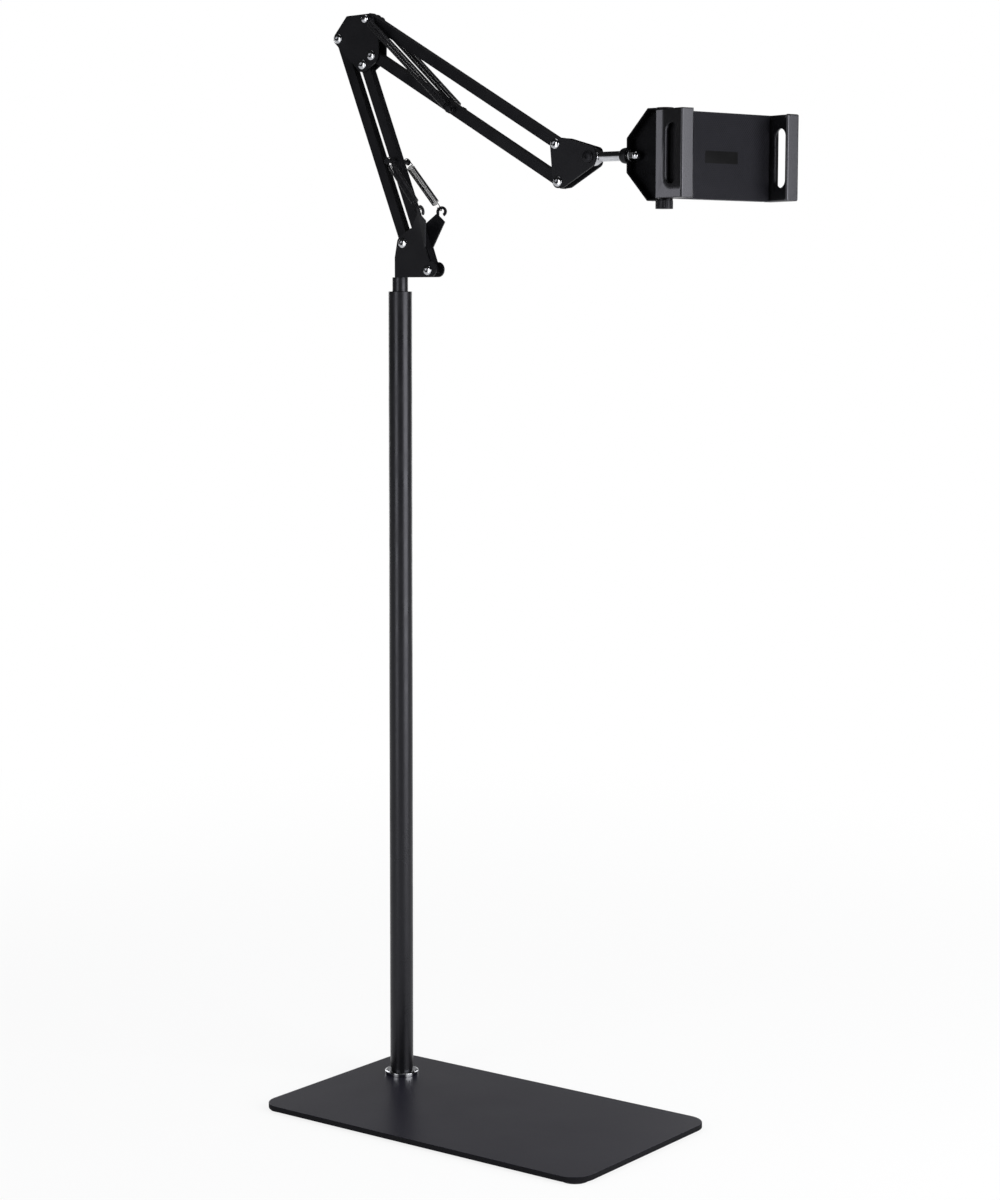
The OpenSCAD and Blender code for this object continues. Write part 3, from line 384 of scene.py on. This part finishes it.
def edge_cleaner():
    """Drops the stored normals and sharp marks, joins the facets' corners and shades them smooth."""
    net, flow = geometry_net("edge_cleaner")
    for name in ("custom_normal", "sharp_edge", "sharp_face"):
        drop = net.add("GeometryNodeRemoveAttribute", {"Geometry": flow, "Name": name})
        flow = drop.outputs["Geometry"]
    merge = net.add("GeometryNodeMergeByDistance", {"Geometry": flow, "Distance": MERGE_DISTANCE})
    smooth = net.add("GeometryNodeSetShadeSmooth", {"Geometry": merge.outputs["Geometry"]})
    net.add("NodeGroupOutput", {0: smooth.outputs["Geometry"]})
    return net.tree


def rim_weights(name, end):
    """Bevel weights on the edges round a jaw's two ends, up to a place on the clamp's y."""
    net, flow = geometry_net(name)
    position = net.add("GeometryNodeInputPosition").outputs[0]
    local = net.vectors("SUBTRACT", position, clamp_place.to_translation())
    along = clamp_place.to_3x3() @ Vector((0.0, 1.0, 0.0))
    upward = clamp_place.to_3x3() @ Vector((0.0, 0.0, 1.0))
    height = net.maths("ABSOLUTE", net.vectors("DOT_PRODUCT", local, upward))
    at_rim = net.maths("GREATER_THAN", height, JAW_HALF_HEIGHT - RIM_SLACK)
    before = net.maths("LESS_THAN", net.vectors("DOT_PRODUCT", local, along), end)
    store = net.add("GeometryNodeStoreNamedAttribute", data_type="FLOAT", domain="EDGE", inputs={
        "Geometry": flow,
        "Name": "bevel_weight_edge",
        "Value": net.maths("MULTIPLY", at_rim, before),
    })
    net.add("NodeGroupOutput", {0: store.outputs[0]})
    return net.tree


cleaner = edge_cleaner()


def dress(material, edge, names, segments=2, rims=None):
    """Gives CAD nodes a material and edges, or only the rims' edges, broken by edge millimetres."""
    for name in names.split():
        piece = nodes[name]
        piece.data.materials.clear()
        piece.data.materials.append(material)
        clean = piece.modifiers.new("clean", "NODES")
        clean.node_group = cleaner
        flat = piece.modifiers.new("flat", "DECIMATE")
        flat.decimate_type = "DISSOLVE"
        flat.angle_limit = FLAT_ANGLE
        if rims:
            weights = piece.modifiers.new("weights", "NODES")
            weights.node_group = rims
        bevel = piece.modifiers.new("bevel", "BEVEL")
        bevel.width = edge * MM
        bevel.segments = segments
        bevel.limit_method = "WEIGHT" if rims else "ANGLE"
        bevel.angle_limit = SHARP_ANGLE
        bevel.use_clamp_overlap = not rims
        weld = piece.modifiers.new("weld", "WELD")
        weld.merge_threshold = WELD_DISTANCE
        normals = piece.modifiers.new("normals", "WEIGHTED_NORMAL")
        normals.weight = NORMAL_WEIGHT


dress(base_paint, 1.1, "base_plate", 3)
dress(pole_paint, 0.5, "pole_tube arm_spigot")
dress(sheet_paint, 0.35, "bracket_plate_near bracket_plate_far elbow_plate_near elbow_plate_far")
dress(sheet_paint, 0.35, "wrist_plate_near wrist_plate_far")
dress(yoke_paint, 0.45, "yoke")
dress(tube_paint, 0.9, "lower_rear_tube lower_front_tube upper_top_tube upper_low_tube", 3)
dress(sheet_paint, 0.3, "lower_spring_pin upper_spring_pin tilt_bolt")
dress(chrome, 0.25, "bracket_screws elbow_screws wrist_screws spring_anchor_bolt")
dress(chrome, 0.3, "pole_ring eye_rod rod_cap_nut")
dress(zinc, 0.3, "bracket_nuts elbow_nuts wrist_nuts tilt_nut rod_washer pole_bolt pole_insert")
dress(zinc, 0.2, "case_screws slide_screws swing_pin")
dress(dull_zinc, 0.2, "slide_plate")
dress(nylon, 0.15, "bracket_washers elbow_washers wrist_washers pole_bush")
dress(rubber, 0.15, "tilt_washers")
dress(black_plastic, 0.35, "rod_collar swing_knob")
dress(fixed_jaw_plastic, 1.3, "clamp_frame", 4, rim_weights("fixed_rims", FIXED_RIM_END))
dress(sliding_jaw_plastic, 1.7, "sliding_jaw", 4, rim_weights("sliding_rims", SLIDING_RIM_END))
dress(cover_plastic, 0.4, "clamp_back_cover")


# Pieces made here, in place of CAD nodes or beside them
def add_piece(name, points, faces, material, place=None):
    mesh = bpy.data.meshes.new(name)
    mesh.from_pydata([tuple(p) for p in points], [], faces)
    mesh.materials.append(material)
    mesh.validate()
    mesh.polygons.foreach_set("use_smooth", [True] * len(mesh.polygons))
    piece = bpy.data.objects.new(name, mesh)
    bpy.context.scene.collection.objects.link(piece)
    if place is not None:
        piece.matrix_world = place
    return piece


def unit_across(axis, direction):
    return (direction - axis * axis.dot(direction)).normalized()


WIRE_SIDES = 6


def add_wire(name, path, radius, material):
    """A round wire swept along a path without twist, with closed ends."""
    count = len(path)
    points = []
    side = None
    for i, p in enumerate(path):
        along = (path[min(i + 1, count - 1)] - path[max(i - 1, 0)]).normalized()
        if side is None:
            side = along.orthogonal().normalized()
        side = unit_across(along, side)
        other = along.cross(side)
        for j in range(WIRE_SIDES):
            angle = FULL_TURN * j / WIRE_SIDES
            points.append(p + (side * math.cos(angle) + other * math.sin(angle)) * radius)
    faces = []
    for i in range(count - 1):
        for j in range(WIRE_SIDES):
            a = i * WIRE_SIDES + j
            b = i * WIRE_SIDES + (j + 1) % WIRE_SIDES
            faces.append((a, b, b + WIRE_SIDES, a + WIRE_SIDES))
    faces.append(tuple(reversed(range(WIRE_SIDES))))
    faces.append(tuple(range((count - 1) * WIRE_SIDES, count * WIRE_SIDES)))
    return add_piece(name, points, faces, material)


# Arm springs: fine open coils between their hooks. Hook centres in millimetres, on the far side.
LOWER_PIN = (-3.27, 16.2, 1056.66)
LOWER_GRIP = (41.45, 18.89, 1004.09)
UPPER_ANCHOR = (-38.1, 12.8, 1214.8)
UPPER_PIN = (79.4, 11.4, 1110.0)
PIN_HOOK_R = 4.0 * MM
GRIP_HOOK_R = 3.0 * MM
HOOK_TAIL = 1.6 * MM
HOOK_STEPS = 14
SPRING_LEG = 8.0 * MM
STEPS_PER_CURL = 16
LOWER_CURLS = 38
LOWER_COIL_R = 4.15 * MM
LOWER_WIRE_R = 0.5 * MM
UPPER_CURLS = 109
UPPER_COIL_R = 4.12 * MM
UPPER_WIRE_R = 0.48 * MM


def mirrored(p, side):
    return Vector((p[0] * MM, p[1] * side * MM, p[2] * MM))


def hook(radius):
    """Points of an open hook, from its tail round to where its leg starts."""
    points = [(HOOK_TAIL, -radius), (HOOK_TAIL * 0.4, -radius)]
    for i in range(HOOK_STEPS + 1):
        angle = math.radians(-90 - 180 * i / HOOK_STEPS)
        points.append((radius * math.cos(angle), radius * math.sin(angle)))
    return points


def spring_path(start, end, up_start, up_end, r_start, r_end, curls, coil_r):
    """The path of a spring's wire between the centres of its two hooks."""
    axis = (end - start).normalized()
    length = (end - start).length
    u = unit_across(axis, up_start)
    v = axis.cross(u)
    w = unit_across(axis, up_end)
    last = math.atan2(w.dot(v), w.dot(u)) % FULL_TURN
    turns = FULL_TURN * (curls - 1) + last
    steps = math.ceil(turns / FULL_TURN * STEPS_PER_CURL)
    path = [start + axis * x + u * y for x, y in hook(r_start)]
    for i in range(steps + 1):
        angle = turns * i / steps
        middle = start + axis * (SPRING_LEG + (length - 2 * SPRING_LEG) * i / steps)
        path.append(middle + (u * math.cos(angle) + v * math.sin(angle)) * coil_r)
    path += [end - axis * x + w * y for x, y in reversed(hook(r_end))]
    return path


for label, side in (("near", -1.0), ("far", 1.0)):
    path = spring_path(
        mirrored(LOWER_PIN, side), mirrored(LOWER_GRIP, side), Vector((1, 0, 1)), Vector((0, side, 0)),
        PIN_HOOK_R, GRIP_HOOK_R, LOWER_CURLS, LOWER_COIL_R)
    spring = add_wire("lower_coil_" + label, path, LOWER_WIRE_R, spring_steel)
    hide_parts("lower_spring_" + label)
    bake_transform(spring)
    path = spring_path(
        mirrored(UPPER_ANCHOR, side), mirrored(UPPER_PIN, side), Vector((1, 0, 1)), Vector((-1, 0, -1)),
        PIN_HOOK_R, PIN_HOOK_R, UPPER_CURLS, UPPER_COIL_R)
    spring = add_wire("upper_coil_" + label, path, UPPER_WIRE_R, spring_steel)
    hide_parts("upper_spring_" + label)
    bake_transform(spring)

# Grip pad and bare label on the clamp's panel
CORNER_STEPS = 5
EDGE_STEPS = 3
SHEET_SHARP = math.radians(50)


def rounded_outline(low, high, r):
    corners = (
        (high[0] - r, high[1] - r, 0),
        (low[0] + r, high[1] - r, 90),
        (low[0] + r, low[1] + r, 180),
        (high[0] - r, low[1] + r, 270),
    )
    points = []
    for cx, cy, start in corners:
        for i in range(CORNER_STEPS + 1):
            angle = math.radians(start + 90 * i / CORNER_STEPS)
            points.append((cx + r * math.cos(angle), cy + r * math.sin(angle)))
    return points


def add_sheet(name, low, high, corner, back, front, edge, material, place):
    """A thin rounded sheet in the local YZ plane, its front edge rounded over. Millimetres."""
    layers = [(back, 0.0)]
    for i in range(EDGE_STEPS + 1):
        angle = math.radians(90 * i / EDGE_STEPS)
        layers.append((front - edge * (1 - math.sin(angle)), edge * (1 - math.cos(angle))))
    points = []
    for x, inset in layers:
        inner_low = (low[0] + inset, low[1] + inset)
        inner_high = (high[0] - inset, high[1] - inset)
        for y, z in rounded_outline(inner_low, inner_high, corner):
            points.append((x * MM, y * MM, z * MM))
    n = len(points) // len(layers)
    faces = []
    for k in range(len(layers) - 1):
        for i in range(n):
            a = k * n + i
            b = k * n + (i + 1) % n
            faces.append((a, b, b + n, a + n))
    faces.append(tuple(reversed(range(n))))
    faces.append(tuple(range((len(layers) - 1) * n, len(layers) * n)))
    piece = add_piece(name, points, faces, material, place)
    piece.data.set_sharp_from_angle(angle=SHEET_SHARP)
    return piece


pad = add_sheet(
    "panel_pad", low=(1.2, -45.0), high=(140.0, 45.0), corner=1.2,
    back=7.0, front=8.0, edge=0.3, material=pad_rubber, place=clamp_place)
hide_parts("grip_pad")
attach(pad, "clamp")
blank = add_sheet(
    "panel_blank", low=(48.9, -7.6), high=(94.8, 5.2), corner=0.8,
    back=7.9, front=8.12, edge=0.1, material=label_film, place=clamp_place)
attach(blank, "clamp")

# Return springs inside the housing, in the clamp's own axes
RETURN_DEPTH = 1.5 * MM
RETURN_START = 8.3 * MM
RETURN_END = 39.7 * MM
RETURN_CURLS = 22
RETURN_STEPS_PER_CURL = 14
RETURN_COIL_R = 2.2 * MM
RETURN_WIRE_R = 0.38 * MM
return_steps = RETURN_CURLS * RETURN_STEPS_PER_CURL
for label, height in (("low", -14.0 * MM), ("high", 14.0 * MM)):
    start = clamp_place @ Vector((RETURN_DEPTH, RETURN_START, height))
    end = clamp_place @ Vector((RETURN_DEPTH, RETURN_END, height))
    up = Vector((0, 0, 1))
    across = (end - start).normalized().cross(up)
    path = []
    for i in range(return_steps + 1):
        angle = FULL_TURN * i / RETURN_STEPS_PER_CURL
        around = (up * math.cos(angle) + across * math.sin(angle)) * RETURN_COIL_R
        path.append(start.lerp(end, i / return_steps) + around)
    spring = add_wire("jaw_coil_" + label, path, RETURN_WIRE_R, zinc)
    if label == "low":
        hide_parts("jaw_springs")
    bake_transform(spring)

# Rubber feet: turned discs with a rounded rim and a grip groove, as radius and height in millimetres
FOOT_PROFILE = (
    (0.0, 0.0), (8.0, 0.0), (8.4, 0.5), (10.0, 0.5), (10.4, 0.0),
    (14.2, 0.0), (14.8, 0.25), (15.0, 0.8), (15.0, 2.0), (0.0, 2.0),
)
FOOT_R = 15.0 * MM
FOOT_SIDES = 48
FOOT_SHARP = math.radians(40)


def add_foot(name, x, y):
    points = []
    rows = []
    for r, z in FOOT_PROFILE:
        if r == 0.0:
            rows.append([len(points)])
            points.append((x, y, z * MM))
        else:
            rows.append(list(range(len(points), len(points) + FOOT_SIDES)))
            for i in range(FOOT_SIDES):
                angle = FULL_TURN * i / FOOT_SIDES
                points.append((x + r * MM * math.cos(angle), y + r * MM * math.sin(angle), z * MM))
    faces = []
    for low, high in zip(rows, rows[1:]):
        for i in range(FOOT_SIDES):
            k = (i + 1) % FOOT_SIDES
            if len(low) == 1:
                faces.append((low[0], high[k], high[i]))
            elif len(high) == 1:
                faces.append((low[i], low[k], high[0]))
            else:
                faces.append((low[i], low[k], high[k], high[i]))
    foot = add_piece(name, points, faces, rubber)
    foot.data.set_sharp_from_angle(angle=FOOT_SHARP)
    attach(foot, "base")
    return foot


feet_low, feet_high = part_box("base_feet")
foot_xs = (feet_low[0] + FOOT_R, feet_high[0] - FOOT_R)
foot_ys = (feet_low[1] + FOOT_R, feet_high[1] - FOOT_R)
for i, (x, y) in enumerate((x, y) for y in foot_ys for x in foot_xs):
    foot = add_foot("foot_%d" % (i + 1), x, y)
    if i == 0:
        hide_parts("base_feet")

# Floor, world and lamps
FLOOR_HALF = 14.0
FLOOR_DROP = 0.2 * MM
FLOOR_GREY = (0.88, 0.88, 0.88, 1.0)
# How white the floor shows near the stand and from a distance on, and how much of that metal mirrors
FLOOR_NEAR = 0.84
FLOOR_FADE_START = 0.5
FLOOR_FADE_END = 2.2
FLOOR_MIRRORED = 0.45
# The room that metal and gloss mirror: bright low down and behind the stand, dim elsewhere.
# A direction's height goes from low to high, and its nearness to the back from aside to straight.
ROOM_BACK = (-0.70, 0.714, 0.0)
ROOM_LOW = 0.06
ROOM_HIGH = 0.3
ROOM_ABOVE = 0.28
ROOM_ASIDE = 0.82
ROOM_STRAIGHT = 0.995
ROOM_AROUND = 0.05
FILL_COLOUR = (0.96, 0.98, 1.0, 1.0)
FILL_STRENGTH = 0.4


def rays(net, *names):
    """1 for rays of the named kinds."""
    path = net.add("ShaderNodeLightPath")
    total = path.outputs[names[0]]
    for name in names[1:]:
        total = net.maths("MAXIMUM", total, path.outputs[name])
    return total


def mixed(net, share, first, second):
    """Two shaders mixed, with a share of the second."""
    inputs = {0: share, 1: first.outputs[0], 2: second.outputs[0]}
    return net.add("ShaderNodeMixShader", inputs)


def add_floor():
    mesh = bpy.data.meshes.new("floor")
    r = FLOOR_HALF
    mesh.from_pydata([(-r, -r, 0), (r, -r, 0), (r, r, 0), (-r, r, 0)], [], [(0, 1, 2, 3)])
    floor = bpy.data.objects.new("floor", mesh)
    bpy.context.scene.collection.objects.link(floor)
    floor.location.z = -FLOOR_DROP
    material = bpy.data.materials.new("floor_white")
    material.use_nodes = True
    net = Net(material.node_tree)
    net.tree.nodes.clear()
    far = net.vectors("LENGTH", net.add("ShaderNodeTexCoord").outputs["Object"])
    fade = net.spread(far, FLOOR_NEAR, 1.0, FLOOR_FADE_START, FLOOR_FADE_END, "SMOOTHSTEP")
    glossy = net.maths("MULTIPLY", rays(net, "Is Glossy Ray", "Is Transmission Ray"), FLOOR_MIRRORED)
    seen = net.maths("MAXIMUM", rays(net, "Is Camera Ray"), glossy)
    matt = net.add("ShaderNodeBsdfDiffuse", {"Color": FLOOR_GREY})
    glow = net.add("ShaderNodeEmission", {"Color": WHITE})
    mix = mixed(net, net.maths("MULTIPLY", fade, seen), matt, glow)
    net.add("ShaderNodeOutputMaterial", {0: mix.outputs[0]})
    mesh.materials.append(material)


def add_world():
    world = bpy.data.worlds.new("studio")
    bpy.context.scene.world = world
    world.use_nodes = True
    net = Net(world.node_tree)
    net.tree.nodes.clear()
    toward = net.add("ShaderNodeTexCoord").outputs["Generated"]
    height = net.add("ShaderNodeSeparateXYZ", {0: toward}).outputs["Z"]
    low = net.spread(height, 1.0, ROOM_ABOVE, ROOM_LOW, ROOM_HIGH)
    behind = net.vectors("DOT_PRODUCT", toward, ROOM_BACK)
    back = net.spread(behind, ROOM_AROUND, 1.0, ROOM_ASIDE, ROOM_STRAIGHT, "SMOOTHSTEP")
    room_level = net.maths("MULTIPLY", low, back)
    room = net.add("ShaderNodeBackground", {"Color": WHITE, "Strength": room_level})
    backdrop = net.add("ShaderNodeBackground", {"Color": WHITE})
    fill = net.add("ShaderNodeBackground", {"Color": FILL_COLOUR, "Strength": FILL_STRENGTH})
    light = mixed(net, rays(net, "Is Glossy Ray", "Is Transmission Ray"), fill, room)
    mix = mixed(net, rays(net, "Is Camera Ray"), light, backdrop)
    net.add("ShaderNodeOutputWorld", {0: mix.outputs[0]})


def add_lamp(name, place, target, width, height, power):
    data = bpy.data.lights.new(name, "AREA")
    data.shape = "RECTANGLE"
    data.size = width
    data.size_y = height
    data.energy = power
    lamp = bpy.data.objects.new(name, data)
    bpy.context.scene.collection.objects.link(lamp)
    lamp.location = place
    aim = Vector(target) - Vector(place)
    lamp.rotation_euler = aim.to_track_quat("-Z", "Y").to_euler()
    lamp.visible_camera = False


POLE_MIDDLE = (0.0, 0.0, 0.88)
add_camera()
add_floor()
add_world()
add_lamp("right_box", (2.2, 0.02, 0.88), POLE_MIDDLE, width=1.62, height=1.65, power=50.0)
add_lamp("left_box", (-0.05, -2.2, 0.88), POLE_MIDDLE, width=0.95, height=1.65, power=18.0)
add_lamp("top_box", (0.2, 0.3, 3.0), (0.15, -0.05, 0.5), width=1.5, height=1.5, power=10.0)
add_lamp("back_right_box", (-0.25, 2.2, 1.0), POLE_MIDDLE, width=0.9, height=1.5, power=9.0)
add_lamp("back_left_box", (-2.0, 0.87, 1.0), POLE_MIDDLE, width=0.9, height=1.5, power=9.0)

bpy.context.scene.view_settings.view_transform = "Standard"
